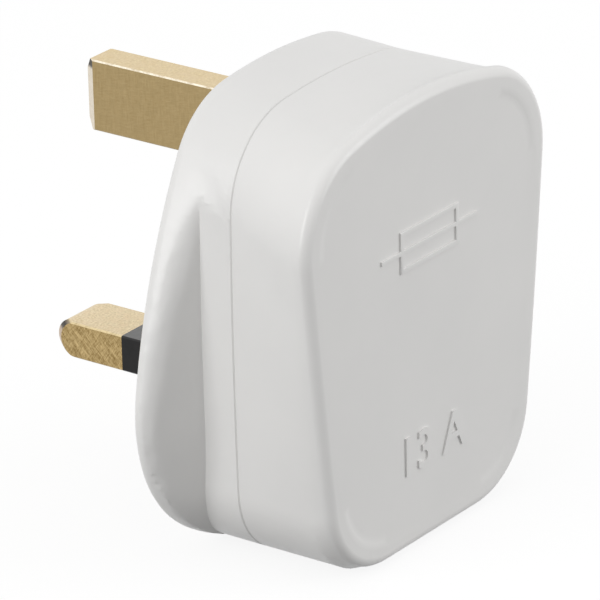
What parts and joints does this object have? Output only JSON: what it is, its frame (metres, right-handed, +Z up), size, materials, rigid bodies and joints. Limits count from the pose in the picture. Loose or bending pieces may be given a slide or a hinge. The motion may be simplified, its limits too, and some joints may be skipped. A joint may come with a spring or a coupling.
{
  "type": "three pin plug",
  "caption": "Fused mains plug with a flared white housing, a finger recess on each side, bare brass earth pin and black sleeves on the line pins.",
  "frame": {"origin": "bottom centre of the bounding box, on the plane that the cable end stands on", "axes": "+Y points along the pins out of the engagement face, +Z points up to the earth pin, +X points to the live side"},
  "size_m": [0.0496, 0.0428, 0.0501],
  "materials": {
    "housing": "semi-matt moulded urea",
    "brass": "milled and lightly brushed",
    "sleeve": "moulded nylon",
    "steel": "zinc plated",
    "spring_bronze": "rolled strip",
    "nickel": "nickel plated",
    "ceramic": "glazed ceramic",
    "wire": "tinned",
    "sand": "dry quartz sand",
    "fibre": "red vulcanised fibre",
    "nylon": "moulded nylon"
  },
  "bodies": {
    "root": {"base": "housing", "cover": "housing", "cover_screw": "steel", "cover_screw_washer": "fibre", "cover_insert": "brass", "earth_pin": "brass", "earth_terminal_screw": "steel", "neutral_pin": "brass", "neutral_sleeve": "sleeve", "neutral_terminal_screw": "steel", "live_pin": "brass", "live_sleeve": "sleeve", "fuse_clip_lower": "spring_bronze", "fuse_clip_upper": "spring_bronze", "live_terminal": "brass", "live_terminal_screw": "steel", "fuse_tube": "ceramic", "fuse_cap_lower": "nickel", "fuse_cap_upper": "nickel", "fuse_wire": "wire", "fuse_sand": "sand", "cord_grip": "nylon", "cord_grip_screw_left": "steel", "cord_grip_screw_right": "steel"}
  },
  "joints": []
}
